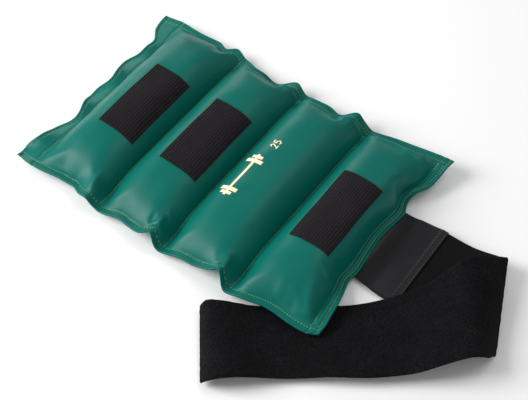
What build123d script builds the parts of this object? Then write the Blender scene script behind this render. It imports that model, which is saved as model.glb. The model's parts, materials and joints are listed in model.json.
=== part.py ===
"""Ankle cuff weight: four sewn vinyl pockets of steel shot in a row, three hook tape pads on their
outer side, and a vinyl tab with a wide loop strap that is folded back on itself.

Origin: middle of the cuff on the plane it lies on. +X runs across the pockets towards the strap,
+Y along the pockets, +Z up, with the outer side of the cuff uppermost. Millimetres.
"""

import os

from build123d import *

# ---- Driving dimensions ----------------------------------------------------------------------
POCKET_PITCH = 90.0
SEAM_HALF_LENGTH = 130.0
HEM_WIDTH = 9.0
CROWN_HEIGHT = 29.0
BELLY_DEPTH = 13.0
CLOTH = 1.1
FLANGE_SEAM_X = -181.0
FLANGE_WIDTH = 25.5
STRAP_SEAM_X = 180.0
STRAP_HEM_WIDTH = 12.6

HOOK_PAD_WIDTH = 50.0
HOOK_PAD_LENGTH = 103.0
HOOK_PAD_THICKNESS = 2.4
HOOK_PAD_CENTRES = {1: (-124.0, -4.0), 2: (-37.0, -5.0), 4: (135.5, -3.0)}

TAB_LENGTH = 42.0
TAB_NEAR_Y = -40.0
TAB_FAR_Y = 63.0
TAB_THICKNESS = 1.4
TAB_OVERLAP = 9.0
STRAP_THICKNESS = 2.2

# ---- Worked-out sizes -------------------------------------------------------------------------
BELLY_EASE = 0.12
SEAM_Z = BELLY_DEPTH + BELLY_EASE
SEAM_STRIP_RADIUS = 1.0
CLEARANCE = 0.3
SEAM_GAP = SEAM_STRIP_RADIUS + CLEARANCE
HEM_Y = SEAM_HALF_LENGTH + HEM_WIDTH
FIT = 0.15
THREAD_WIDTH = 0.7
THREAD_HEIGHT = 0.4
HEM_TOP_Z = SEAM_Z + CLOTH
PROFILE_POWER = 2.5
END_POWER = 5.0
END_FULLNESS = 0.7
PROFILE_STEPS = (-1.0, -0.8, -0.5, -0.2, 0.2, 0.5, 0.8, 1.0)
LENGTH_STEPS = (-0.992, -0.95, -0.87, -0.74, -0.5, 0.0, 0.5, 0.74, 0.87, 0.95, 0.992)

# Each pocket: its cloth's left and right edge, and the seam lines that its filling lies between.
SEAM_XS = (-POCKET_PITCH, 0.0, POCKET_PITCH)
POCKETS = {
    1: (FLANGE_SEAM_X - FLANGE_WIDTH, SEAM_XS[0] - SEAM_GAP, FLANGE_SEAM_X, SEAM_XS[0] - SEAM_GAP),
    2: (SEAM_XS[0] + SEAM_GAP, SEAM_XS[1] - SEAM_GAP, SEAM_XS[0] + SEAM_GAP, SEAM_XS[1] - SEAM_GAP),
    3: (SEAM_XS[1] + SEAM_GAP, SEAM_XS[2] - SEAM_GAP, SEAM_XS[1] + SEAM_GAP, SEAM_XS[2] - SEAM_GAP),
    4: (SEAM_XS[2] + SEAM_GAP, STRAP_SEAM_X + STRAP_HEM_WIDTH, SEAM_XS[2] + SEAM_GAP, STRAP_SEAM_X),
}


def finish(block, name):
    """Label a finished piece and write it as a STEP file named after it."""
    block.part.label = name
    export_step(block.part, f"parts/{name}.step")


def pillow(seam_left, seam_right, height, inset=0.0, up=True):
    """Half a pocket's bulge on the seam plane: sections across the pocket, lofted along it.

    The height falls off towards the two seams and the two hems; inset shrinks it all round.
    """
    centre = (seam_left + seam_right) / 2
    half_width = (seam_right - seam_left) / 2 - inset
    half_length = SEAM_HALF_LENGTH - inset
    rise = (height - inset) if up else (inset - height)
    with BuildPart() as bulge:
        for step in LENGTH_STEPS:
            fullness = (1 - abs(step) ** END_POWER) ** END_FULLNESS
            with BuildSketch(Plane.XZ.offset(-step * half_length)):
                with BuildLine():
                    curve = [
                        (centre + x * half_width,
                         SEAM_Z + rise * fullness * (1 - abs(x) ** PROFILE_POWER))
                        for x in PROFILE_STEPS
                    ]
                    Spline(*curve)
                    Line(curve[-1], curve[0])
                make_face()
        loft()
    return bulge.part


def cover(pocket, height, up):
    """One side of a pocket: a bulged vinyl shell with its flat hems."""
    left, right, seam_left, seam_right = POCKETS[pocket]
    floor = SEAM_Z if up else SEAM_Z - CLOTH
    outside = pillow(seam_left, seam_right, height, up=up)
    inside = pillow(seam_left, seam_right, height, inset=CLOTH, up=up)
    with BuildPart() as shell:
        with BuildSketch(Plane.XY.offset(floor)):
            with Locations(((left + right) / 2, 0)):
                Rectangle(right - left, 2 * HEM_Y)
        extrude(amount=CLOTH)
        add(outside)
        add(inside, mode=Mode.SUBTRACT)
    return shell


def on_crown(pocket, thickness, outline):
    """A thin layer that follows the outer cover's crown inside an upright outline."""
    left, right, seam_left, seam_right = POCKETS[pocket]
    under = pillow(seam_left, seam_right, CROWN_HEIGHT, inset=-FIT / 3)
    over = pillow(seam_left, seam_right, CROWN_HEIGHT + thickness, inset=-FIT / 3)
    with BuildPart() as layer:
        for upright in outline.solids():
            add((upright & over) - under)
    return layer


def thread_rail(x, y, length_x, length_y, base):
    """A run of sewing thread lying on the cloth."""
    with Locations((x, y, base + THREAD_HEIGHT / 2)):
        Box(length_x, length_y, THREAD_HEIGHT)


# ---- Strap: each ruling joins a point of the far edge to one of the near edge (upper side) -----
TAB_BEND_X = STRAP_SEAM_X + STRAP_HEM_WIDTH + 1.4
TAB_BEND_Z = HEM_TOP_Z - 2 * CLOTH - 0.8
TAB_BEND_RADIUS = 0.9
TAB_START_X = TAB_BEND_X + TAB_BEND_RADIUS + CLEARANCE
TAB_END_X = TAB_START_X + TAB_LENGTH
STRAP_START_X = TAB_END_X - TAB_OVERLAP
LEG_NEAR_Z = STRAP_THICKNESS + 0.3
LEG_FAR_Z = 10.0
FOLD_RADIUS = 3.2
FOLD_FAR = Vector(306.0, 64.0, 17.0)
FOLD_NEAR = Vector(353.0, -38.0, 5.2)
FOLD_SETBACK = Vector(-3.2, -1.5, 0.0)
LAYER_RISE = Vector(0.0, 0.0, FOLD_RADIUS)
LEG_DROP = Vector(0.0, 0.0, FOLD_RADIUS - STRAP_THICKNESS)

TAB_RULINGS = (
    ((TAB_START_X, TAB_FAR_Y, TAB_BEND_Z + TAB_THICKNESS / 2),
     (TAB_START_X, TAB_NEAR_Y, TAB_BEND_Z + TAB_THICKNESS / 2)),
    ((TAB_START_X + 14.0, TAB_FAR_Y, 11.4), (TAB_START_X + 14.0, TAB_NEAR_Y, 8.6)),
    ((STRAP_START_X, TAB_FAR_Y, LEG_FAR_Z + TAB_THICKNESS + FIT),
     (STRAP_START_X, TAB_NEAR_Y, LEG_NEAR_Z + TAB_THICKNESS + FIT)),
    ((TAB_END_X, TAB_FAR_Y, LEG_FAR_Z + TAB_THICKNESS + FIT),
     (TAB_END_X, TAB_NEAR_Y, LEG_NEAR_Z + TAB_THICKNESS + FIT)),
)
OUT_LEG_RULINGS = (
    ((STRAP_START_X, TAB_FAR_Y, LEG_FAR_Z), (STRAP_START_X, TAB_NEAR_Y, LEG_NEAR_Z)),
    ((TAB_END_X, TAB_FAR_Y, LEG_FAR_Z), (TAB_END_X, TAB_NEAR_Y, LEG_NEAR_Z)),
    ((270.0, TAB_FAR_Y, 12.0), (296.0, TAB_NEAR_Y + 1.0, LEG_NEAR_Z)),
    (tuple(FOLD_FAR + FOLD_SETBACK - LEG_DROP), tuple(FOLD_NEAR + FOLD_SETBACK - LEG_DROP)),
)
BACK_LEG_RULINGS = (
    (tuple(FOLD_FAR + FOLD_SETBACK + LAYER_RISE), tuple(FOLD_NEAR + FOLD_SETBACK + LAYER_RISE)),
    ((289.0, 43.0, 35.0), (351.0, -44.0, 14.0)),
    ((276.0, 26.0, 38.0), (350.0, -50.0, 20.0)),
    ((266.0, 12.0, 29.5), (346.0, -57.0, 27.5)),
    ((256.0, -2.0, 17.0), (338.0, -68.0, 33.0)),
    ((246.0, -16.0, 10.0), (326.0, -82.0, 31.0)),
    ((235.0, -32.0, 7.4), (312.0, -96.0, 23.5)),
    ((221.0, -50.0, 5.6), (297.0, -109.0, 16.0)),
    ((194.0, -76.0, 3.2), (265.0, -136.0, 13.5)),
    ((161.0, -99.0, 3.0), (234.0, -157.0, 12.5)),
    ((128.0, -125.0, 3.0), (204.0, -179.0, 9.0)),
    ((106.0, -143.0, 12.5), (176.0, -202.0, 15.0)),
    ((92.0, -154.0, 18.5), (162.0, -214.0, 24.0)),
    ((80.0, -162.0, 14.0), (150.0, -224.0, 26.0)),
    ((75.0, -166.0, 4.0), (143.0, -229.0, 15.0)),
)


def ruled_band(rulings, thickness):
    """A strap of even thickness whose upper side passes through straight rulings."""
    with BuildPart() as band:
        for far, near in rulings:
            across = Vector(near[0] - far[0], near[1] - far[1], 0)
            plane = Plane(origin=far, x_dir=across, z_dir=Vector(across.Y, -across.X, 0))
            width = across.length
            drop = near[2] - far[2]
            with BuildSketch(plane):
                Polygon((0, 0), (width, drop), (width, drop - thickness), (0, -thickness), align=None)
        loft(ruled=True)
    return band


# ---- Pockets: covers, filling and hem thread ----------------------------------------------------
os.makedirs("parts", exist_ok=True)

for number, (left, right, seam_left, seam_right) in POCKETS.items():
    outer_cover = cover(number, CROWN_HEIGHT, up=True)
    finish(outer_cover, f"outer_cover_{number}")

    inner_cover = cover(number, BELLY_DEPTH, up=False)
    finish(inner_cover, f"inner_cover_{number}")

    with BuildPart() as shot_fill:
        add(pillow(seam_left, seam_right, CROWN_HEIGHT, inset=CLOTH + FIT))
        add(pillow(seam_left, seam_right, BELLY_DEPTH, inset=CLOTH + FIT, up=False))
    finish(shot_fill, f"shot_fill_{number}")

    with BuildPart() as hem_thread:
        middle = (left + right) / 2
        for side in (-1, 1):
            thread_rail(middle, side * (SEAM_HALF_LENGTH + 1), right - left - 4, THREAD_WIDTH, HEM_TOP_Z)
        if number == 1:
            thread_rail(left + 5, 0, THREAD_WIDTH, 2 * SEAM_HALF_LENGTH, HEM_TOP_Z)
            thread_rail(seam_left - 2, 0, THREAD_WIDTH, 2 * SEAM_HALF_LENGTH, HEM_TOP_Z)
        if number == 4:
            thread_rail(seam_right + 1, 0, THREAD_WIDTH, 2 * SEAM_HALF_LENGTH, HEM_TOP_Z)
            thread_rail(seam_right + 7.5, 0, THREAD_WIDTH, 2 * SEAM_HALF_LENGTH, HEM_TOP_Z)
    finish(hem_thread, f"hem_thread_{number}")

# ---- Sewn seam strips and their thread ----------------------------------------------------------
for number, seam_x in enumerate(SEAM_XS, start=1):
    with BuildPart() as seam_strip:
        with BuildSketch(Plane.XZ.offset(-HEM_Y)):
            with Locations((seam_x, SEAM_Z)):
                Circle(SEAM_STRIP_RADIUS)
        extrude(amount=2 * HEM_Y)
    finish(seam_strip, f"seam_strip_{number}")

    with BuildPart() as seam_thread:
        thread_rail(seam_x, 0, THREAD_WIDTH, 2 * SEAM_HALF_LENGTH, SEAM_Z + SEAM_STRIP_RADIUS)
    finish(seam_thread, f"seam_thread_{number}")

# ---- Hook tape pads -----------------------------------------------------------------------------
for number, (pad_x, pad_y) in HOOK_PAD_CENTRES.items():
    with BuildPart() as pad_outline:
        with BuildSketch(Plane.XY):
            with Locations((pad_x, pad_y)):
                Rectangle(HOOK_PAD_WIDTH, HOOK_PAD_LENGTH)
        extrude(amount=2 * CROWN_HEIGHT)
    finish(on_crown(number, HOOK_PAD_THICKNESS, pad_outline.part), f"hook_pad_{number}")

# ---- Printed mark on pocket 3 -------------------------------------------------------------------
PRINT_THICKNESS = 0.3
BARBELL_CENTRE = (24.0, -22.0)
BARBELL_LENGTH = 66.0
BARBELL_BAR_WIDTH = 3.0
PLATES = ((23.0, 5.0, 20.0), (29.0, 4.0, 13.0))
NUMBER_CENTRE = (30.0, 33.0)
NUMBER_HEIGHT = 9.4
DIGIT_PITCH = 6.4
DIGIT_STROKE = 1.3
DIGIT_PLANE = Plane(origin=(NUMBER_CENTRE[0], NUMBER_CENTRE[1], 0), x_dir=(0, 1, 0), z_dir=(0, 0, 1))

with BuildPart() as barbell_outline:
    with BuildSketch(Plane.XY):
        with Locations(BARBELL_CENTRE):
            Rectangle(BARBELL_BAR_WIDTH, BARBELL_LENGTH)
        for side in (-1, 1):
            for reach, plate_width, plate_height in PLATES:
                with Locations((BARBELL_CENTRE[0], BARBELL_CENTRE[1] + side * reach)):
                    Rectangle(plate_height, plate_width)
    extrude(amount=2 * CROWN_HEIGHT)
finish(on_crown(3, PRINT_THICKNESS, barbell_outline.part), "print_barbell")

with BuildPart() as number_outline:
    for start, stroke in (
        (-DIGIT_PITCH, ((0.3, 6.8), (2.6, 9.0), (4.8, 6.8), (3.0, 3.4), (0.5, 0.5), (5.0, 0.5))),
        (0.5, ((4.8, 8.9), (1.0, 8.9), (0.7, 5.2), (3.2, 5.9), (5.0, 3.2), (3.0, 0.5), (0.4, 1.4))),
    ):
        with BuildSketch(DIGIT_PLANE):
            with BuildLine():
                Polyline(*[(start + along, up - NUMBER_HEIGHT / 2) for along, up in stroke])
            trace(line_width=DIGIT_STROKE)
        extrude(amount=2 * CROWN_HEIGHT)
finish(on_crown(3, PRINT_THICKNESS, number_outline.part), "print_number")

# ---- Strap: anchor, tab, loop strap ---------------------------------------------------------------
with BuildPart() as strap_anchor:
    with BuildSketch(Plane.XY.offset(TAB_BEND_Z - TAB_THICKNESS / 2)):
        with Locations((STRAP_SEAM_X + STRAP_HEM_WIDTH / 2, (TAB_FAR_Y + TAB_NEAR_Y) / 2)):
            Rectangle(STRAP_HEM_WIDTH, TAB_FAR_Y - TAB_NEAR_Y)
    extrude(amount=TAB_THICKNESS)
finish(strap_anchor, "strap_anchor")

with BuildPart() as tab_bend:
    with BuildSketch(Plane.XZ.offset(-TAB_FAR_Y)):
        with Locations((TAB_BEND_X, TAB_BEND_Z)):
            Circle(TAB_BEND_RADIUS)
    extrude(amount=TAB_FAR_Y - TAB_NEAR_Y)
finish(tab_bend, "tab_bend")

finish(ruled_band(TAB_RULINGS, TAB_THICKNESS), "strap_tab")
finish(ruled_band(OUT_LEG_RULINGS, STRAP_THICKNESS), "strap_out")
finish(ruled_band(BACK_LEG_RULINGS, STRAP_THICKNESS), "strap_back")

with BuildPart() as strap_fold:
    fold_line = FOLD_NEAR - FOLD_FAR
    with BuildSketch(Plane(origin=FOLD_FAR, z_dir=fold_line)):
        Circle(FOLD_RADIUS)
    extrude(amount=fold_line.length)
finish(strap_fold, "strap_fold")
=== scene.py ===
"""Visual model of an ankle cuff weight: four sewn pockets of steel shot, hook pads and a loop strap.

Every shape is a surface on a grid of two parameters, worked out in millimetres and put into its mesh in metres.
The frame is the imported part's: +X across the pockets towards the strap, +Y along them, +Z up.
"""

import json
import logging
from dataclasses import dataclass
from enum import Enum

import bpy
import numpy as np
from mathutils import Matrix, Vector


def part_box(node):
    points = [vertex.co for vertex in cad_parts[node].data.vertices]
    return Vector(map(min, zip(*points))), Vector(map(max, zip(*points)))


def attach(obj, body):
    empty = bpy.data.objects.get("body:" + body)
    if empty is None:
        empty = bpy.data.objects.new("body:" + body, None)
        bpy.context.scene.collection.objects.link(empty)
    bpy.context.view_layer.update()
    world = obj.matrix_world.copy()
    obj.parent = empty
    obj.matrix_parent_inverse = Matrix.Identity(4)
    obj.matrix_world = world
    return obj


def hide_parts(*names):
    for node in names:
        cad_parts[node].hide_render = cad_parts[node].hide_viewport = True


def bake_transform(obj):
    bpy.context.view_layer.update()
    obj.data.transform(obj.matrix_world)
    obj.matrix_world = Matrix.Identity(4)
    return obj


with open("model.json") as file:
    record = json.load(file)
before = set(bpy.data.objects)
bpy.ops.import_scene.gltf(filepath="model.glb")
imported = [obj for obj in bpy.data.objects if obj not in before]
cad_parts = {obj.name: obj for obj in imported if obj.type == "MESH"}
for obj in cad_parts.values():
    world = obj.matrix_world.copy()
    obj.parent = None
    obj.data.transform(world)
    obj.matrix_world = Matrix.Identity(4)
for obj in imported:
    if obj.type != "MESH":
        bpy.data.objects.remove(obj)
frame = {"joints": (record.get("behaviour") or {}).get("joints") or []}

LOG = logging.getLogger("cuff")
MM = 0.001
Array = np.ndarray
SHARP_EDGE = np.radians(62)
CLOSE_STEP = 0.45  # Spacing of the grid lines by a row of stitches, in millimetres.


# ---- Small geometry helpers ----------------------------------------------------------------------


def smooth(value: Array, low: float, high: float) -> Array:
    """Smoothstep of value from 0 at low to 1 at high.

    Args:
        value: The numbers to ramp.
        low: Where the ramp starts.
        high: Where it ends.

    Returns:
        The ramped numbers, from 0 to 1.
    """
    t = np.clip((value - low) / (high - low), 0.0, 1.0)
    return t * t * (3 - 2 * t)


def bell(value: Array, centre: float, before: float, after: float | None = None) -> Array:
    """A bell curve with its own width on each side of its centre.

    Args:
        value: Where to work it out.
        centre: The top of the bell.
        before: Width below the centre.
        after: Width above the centre, the same as before if left out.

    Returns:
        Heights from 0 to 1.
    """
    width = np.where(value < centre, before, before if after is None else after)
    return np.exp(-(((value - centre) / width) ** 2))


def bells(value: Array, *rows: tuple[float, ...]) -> Array:
    """Several bell curves added up.

    Args:
        value: Where to work it out.
        rows: For each bell its height, its centre, its width before the centre and, if it differs, after it.

    Returns:
        The summed heights.
    """
    return sum(height * bell(value, *place) for height, *place in rows)


def rounding(rim: Array, radius: float, depth: float) -> Array:
    """How far a rounded edge drops below its flat: depth (1 - sqrt(1 - t^2)), with t from 0 at the radius to 1.

    Args:
        rim: Distance from the edge.
        radius: Where the rounding starts.
        depth: The drop at the edge itself.

    Returns:
        The drop, zero past the radius.
    """
    return depth * (1 - np.sqrt(1 - np.clip(1 - rim / radius, 0, 1) ** 2))


def ripple(x: Array, y: Array, size: float, seed: int) -> Array:
    """Smooth unevenness: twelve sine waves of random heading and phase, about size millimetres long.

    Args:
        x: First coordinate in millimetres.
        y: Second coordinate in millimetres.
        size: The length of a typical wave.
        seed: Picks the waves.

    Returns:
        Heights of about -1 to 1.
    """
    random = np.random.default_rng(seed)
    total = np.zeros(np.broadcast(x, y).shape)
    for heading, phase, stretch in random.uniform(0, 1, (12, 3)):
        reach = 2 * np.pi / (size * (0.7 + 0.8 * stretch))
        angle = np.pi * heading
        total += np.sin(reach * (np.cos(angle) * x + np.sin(angle) * y) + 2 * np.pi * phase)
    return total / 3.5


def spline_through(points: Array, samples: Array) -> Array:
    """Natural cubic spline through points at whole-number parameters.

    Args:
        points: One row for each knot.
        samples: Parameters from 0 to the last knot's number.

    Returns:
        One row for each sample.
    """
    count = len(points)
    system = np.eye(count)
    inner = np.arange(1, count - 1)
    system[inner, inner - 1] = 1
    system[inner, inner] = 4
    system[inner, inner + 1] = 1
    right = np.zeros_like(points)
    right[1:-1] = 6 * (points[2:] - 2 * points[1:-1] + points[:-2])
    bend = np.linalg.solve(system, right)
    k = np.clip(samples.astype(int), 0, count - 2)
    t = (samples - k)[:, None]
    a, b, ma, mb = points[k], points[k + 1], bend[k], bend[k + 1]
    return a * (1 - t) + b * t + ((1 - t) ** 3 - (1 - t)) * ma / 6 + (t**3 - t) * mb / 6


def graded(low: float, high: float, step: float, fine_at: tuple[float, ...], fine: float) -> Array:
    """Grid lines from low to high, closer together round chosen places.

    Args:
        low: First line.
        high: Last line.
        step: Usual spacing.
        fine_at: Places that get closer lines.
        fine: Spacing there.

    Returns:
        The lines in order.
    """
    lines = [np.linspace(low, high, max(2, round((high - low) / step) + 1))]
    for place in fine_at:
        near = place + np.arange(-3, 4) * fine
        lines.append(near[(near > low) & (near < high)])
    return np.unique(np.round(np.concatenate(lines), 3))


# ---- Meshes --------------------------------------------------------------------------------------


def mesh_piece(name: str, vertices: Array, faces: Array, slots: Array | None = None) -> bpy.types.Object:
    """Put arrays into a new mesh object.

    Args:
        name: The piece's name.
        vertices: Rows of x, y, z in millimetres.
        faces: Rows of four vertex numbers; a triangle repeats its last one.
        slots: Material slot number of each face.

    Returns:
        The linked object, at the origin.
    """
    mesh = bpy.data.meshes.new(name)
    corners = [tuple(f[:3]) if f[2] == f[3] else tuple(f) for f in faces.tolist()]
    mesh.from_pydata((vertices * MM).tolist(), [], corners)
    mesh.polygons.foreach_set("use_smooth", np.ones(len(corners), bool))
    if slots is not None:
        mesh.polygons.foreach_set("material_index", slots.astype(np.int32))
    mesh.update()
    piece = bpy.data.objects.new(name, mesh)
    bpy.context.scene.collection.objects.link(piece)
    return piece


def sheet_faces(rows: int, columns: int) -> Array:
    """Quads of an open grid of rows by columns points, facing along rows x columns."""
    at = np.arange(rows * columns).reshape(rows, columns)
    return np.stack([at[:-1, :-1], at[1:, :-1], at[1:, 1:], at[:-1, 1:]], -1).reshape(-1, 4)


def slab(name: str, top: Array, bottom: Array) -> bpy.types.Object:
    """A closed sheet with two sides and four rim walls.

    Args:
        name: The piece's name.
        top: Grid of points of the upper side, first axis along +X, second along +Y.
        bottom: The same grid on the lower side.

    Returns:
        The object. Slot 0 is the upper side and the rim, slot 1 the lower side.
    """
    rows, columns = top.shape[:2]
    offset = rows * columns
    upper = sheet_faces(rows, columns)
    lower = sheet_faces(rows, columns)[:, ::-1] + offset
    at = np.arange(offset).reshape(rows, columns)
    rim = np.concatenate([at[:, 0], at[-1, 1:], at[-2::-1, -1], at[0, -2:0:-1]])
    after = np.roll(rim, -1)
    wall = np.stack([rim, rim + offset, after + offset, after], -1)
    faces = np.concatenate([upper, wall, lower])
    slots = np.concatenate([np.zeros(len(upper) + len(wall)), np.ones(len(lower))])
    piece = mesh_piece(name, np.concatenate([top.reshape(-1, 3), bottom.reshape(-1, 3)]), faces, slots)
    piece.data.set_sharp_from_angle(angle=SHARP_EDGE)
    return piece


def stitches(
    name: str, starts: Array, ends: Array, ups: Array, width: float, height: float
) -> bpy.types.Object:
    """Sewing stitches: spindles of eight sides and five rings, each lying from a start to an end.

    Args:
        name: The piece's name.
        starts: First point of each stitch.
        ends: Last point of each stitch.
        ups: The cloth's outward direction at each stitch.
        width: A stitch's full width.
        height: Its full height.

    Returns:
        One object with every stitch of the run.
    """
    sides, rings = 8, 5
    along = ends - starts
    across = np.cross(along, ups)
    across /= np.linalg.norm(across, axis=1, keepdims=True)
    place = np.linspace(0, 1, rings)
    girth = np.array([0.25, 0.85, 1.0, 0.85, 0.25])
    turn = np.arange(sides) * 2 * np.pi / sides
    centre = starts[:, None, :] + along[:, None, :] * place[None, :, None]
    centre = centre - ups[:, None, :] * (0.5 * height * (2 * place - 1) ** 2)[None, :, None]
    ring = (
        across[:, None, None, :] * (width / 2 * np.cos(turn))[None, None, :, None]
        + ups[:, None, None, :] * (height / 2 * np.sin(turn))[None, None, :, None]
    ) * girth[None, :, None, None]
    body = (centre[:, :, None, :] + ring).reshape(len(starts), -1, 3)
    caps = np.stack([centre[:, 0], centre[:, -1]], 1)
    points = np.concatenate([body, caps], 1)
    at = np.arange(rings * sides).reshape(rings, sides)
    beside = np.roll(at, -1, axis=1)
    skin = np.stack([at[:-1], beside[:-1], beside[1:], at[1:]], -1).reshape(-1, 4)
    first, last = rings * sides, rings * sides + 1
    low = np.stack([beside[0], at[0], np.full(sides, first), np.full(sides, first)], -1)
    high = np.stack([at[-1], beside[-1], np.full(sides, last), np.full(sides, last)], -1)
    faces = np.concatenate([skin, low, high])
    per = points.shape[1]
    every = (faces[None] + (np.arange(len(starts)) * per)[:, None, None]).reshape(-1, 4)
    return mesh_piece(name, points.reshape(-1, 3), every)


# ---- Finishes ------------------------------------------------------------------------------------


def srgb(code: str) -> tuple[float, float, float, float]:
    """Linear colour of an sRGB hex code such as "#0E6A5B"."""
    part = np.array([int(code[i : i + 2], 16) for i in (1, 3, 5)]) / 255
    linear = np.where(part <= 0.04045, part / 12.92, ((part + 0.055) / 1.055) ** 2.4)
    return (*linear.tolist(), 1.0)


def add_node(
    tree: bpy.types.NodeTree, kind: str, links: dict | None = None, **settings: object
) -> bpy.types.Node:
    """Add a shader node.

    Args:
        tree: The material's node tree.
        kind: The node's type name.
        links: Input name or number to either a value or an output socket.
        settings: Properties of the node.

    Returns:
        The node.
    """
    node = tree.nodes.new(kind)
    for key, value in settings.items():
        setattr(node, key, value)
    for key, value in (links or {}).items():
        if isinstance(value, bpy.types.NodeSocket):
            tree.links.new(value, node.inputs[key])
        else:
            node.inputs[key].default_value = value
    return node


def new_material(
    name: str, gloss: dict[str, float]
) -> tuple[bpy.types.Material, bpy.types.NodeTree, bpy.types.Node]:
    """Start a material with its shader.

    Args:
        name: The material's name.
        gloss: Constants for the shader's own sockets.

    Returns:
        The material, its node tree and its shader node.
    """
    material = bpy.data.materials.new(name)
    material.use_nodes = True
    tree = material.node_tree
    shader = tree.nodes["Principled BSDF"]
    for socket, value in gloss.items():
        shader.inputs[socket].default_value = value
    return material, tree, shader


@dataclass(frozen=True)
class CoatedVinylCloth:
    """Soft PVC coated on a knit and calendered against a grained roll.

    The coating is smooth and satin, so it gives broad soft highlights broken by a very fine grain, and its
    colour deepens slightly where the plasticised film has been handled.
    """

    name: str
    body: str
    worn: str
    roughness: float
    specular: float = 0.26
    grain_mm: float = 1.1
    grain_depth_mm: float = 0.03
    slub_mm: float = 3.846
    smear_mm: float = 18.18
    patch_mm: float = 70.0

    def make(self) -> bpy.types.Material:
        """Build the material.

        Returns:
            The finished material.
        """
        material, tree, shader = new_material(
            self.name,
            {"IOR": 1.5, "Coat Weight": 0.03, "Coat Roughness": 0.35, "Specular IOR Level": self.specular},
        )
        place = add_node(tree, "ShaderNodeTexCoord").outputs["Object"]
        patch = add_node(
            tree, "ShaderNodeTexNoise", {"Vector": place, "Scale": 1 / (self.patch_mm * MM), "Detail": 3.0}
        )
        colour = add_node(
            tree,
            "ShaderNodeMix",
            {"Factor": patch.outputs["Fac"], 6: srgb(self.body), 7: srgb(self.worn)},
            data_type="RGBA",
        )
        tree.links.new(colour.outputs[2], shader.inputs["Base Color"])
        smear = add_node(
            tree, "ShaderNodeTexNoise", {"Vector": place, "Scale": 1 / (self.smear_mm * MM), "Detail": 4.0}
        )
        rough = add_node(
            tree,
            "ShaderNodeMapRange",
            {0: smear.outputs["Fac"], 1: 0.3, 2: 0.7, 3: self.roughness - 0.05, 4: self.roughness + 0.06},
        )
        tree.links.new(rough.outputs[0], shader.inputs["Roughness"])
        pores = add_node(
            tree,
            "ShaderNodeTexVoronoi",
            {"Vector": place, "Scale": 1 / (self.grain_mm * MM)},
            feature="DISTANCE_TO_EDGE",
        )
        slub = add_node(
            tree, "ShaderNodeTexNoise", {"Vector": place, "Scale": 1 / (self.slub_mm * MM), "Detail": 5.0}
        )
        relief = add_node(
            tree, "ShaderNodeMath", {0: pores.outputs["Distance"], 1: slub.outputs["Fac"]}, operation="ADD"
        )
        bump = add_node(
            tree,
            "ShaderNodeBump",
            {"Strength": 0.5, "Distance": self.grain_depth_mm * MM, "Height": relief.outputs[0]},
        )
        tree.links.new(bump.outputs["Normal"], shader.inputs["Normal"])
        return material


@dataclass(frozen=True)
class NapTape:
    """Nylon tape: a knitted ground, brushed into loops or moulded into hooks on its working side.

    It is nearly black, with no gloss, and light only catches the ends of the nap, so it shows as a fine
    speckle; that speckle is a painted glint, a lighter colour mixed into the base colour by the nap's noise.
    """

    name: str
    ground: str
    # The lighter colour of the nap's ends is a painted glint.
    tip_glint: str
    nap_mm: float
    nap_depth_mm: float
    sheen: float
    roughness: float = 0.95
    cloud_mm: float = 25.0

    def make(self) -> bpy.types.Material:
        """Build the material.

        Returns:
            The finished material.
        """
        material, tree, shader = new_material(
            self.name,
            {
                "IOR": 1.5,
                "Roughness": self.roughness,
                "Sheen Weight": self.sheen,
                "Sheen Roughness": 0.5,
                "Specular IOR Level": 0.12,
            },
        )
        place = add_node(tree, "ShaderNodeTexCoord").outputs["Object"]
        nap = add_node(
            tree,
            "ShaderNodeTexNoise",
            {"Vector": place, "Scale": 1 / (self.nap_mm * MM), "Detail": 3.0, "Roughness": 0.7},
        )
        cloud = add_node(
            tree, "ShaderNodeTexNoise", {"Vector": place, "Scale": 1 / (self.cloud_mm * MM), "Detail": 3.0}
        )
        # Painted glint: where the nap's noise is high, the lighter colour is mixed in, broken up by the cloud.
        glint_speckle = add_node(tree, "ShaderNodeMapRange", {0: nap.outputs["Fac"], 1: 0.42, 2: 0.75, 3: 0.0, 4: 1.0})
        mixed = add_node(
            tree, "ShaderNodeMath", {0: glint_speckle.outputs[0], 1: cloud.outputs["Fac"]}, operation="MULTIPLY"
        )
        colour = add_node(
            tree,
            "ShaderNodeMix",
            {"Factor": mixed.outputs[0], 6: srgb(self.ground), 7: srgb(self.tip_glint)},
            data_type="RGBA",
        )
        tree.links.new(colour.outputs[2], shader.inputs["Base Color"])
        bump = add_node(
            tree,
            "ShaderNodeBump",
            {"Strength": 0.8, "Distance": self.nap_depth_mm * MM, "Height": nap.outputs["Fac"]},
        )
        tree.links.new(bump.outputs["Normal"], shader.inputs["Normal"])
        return material


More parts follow.
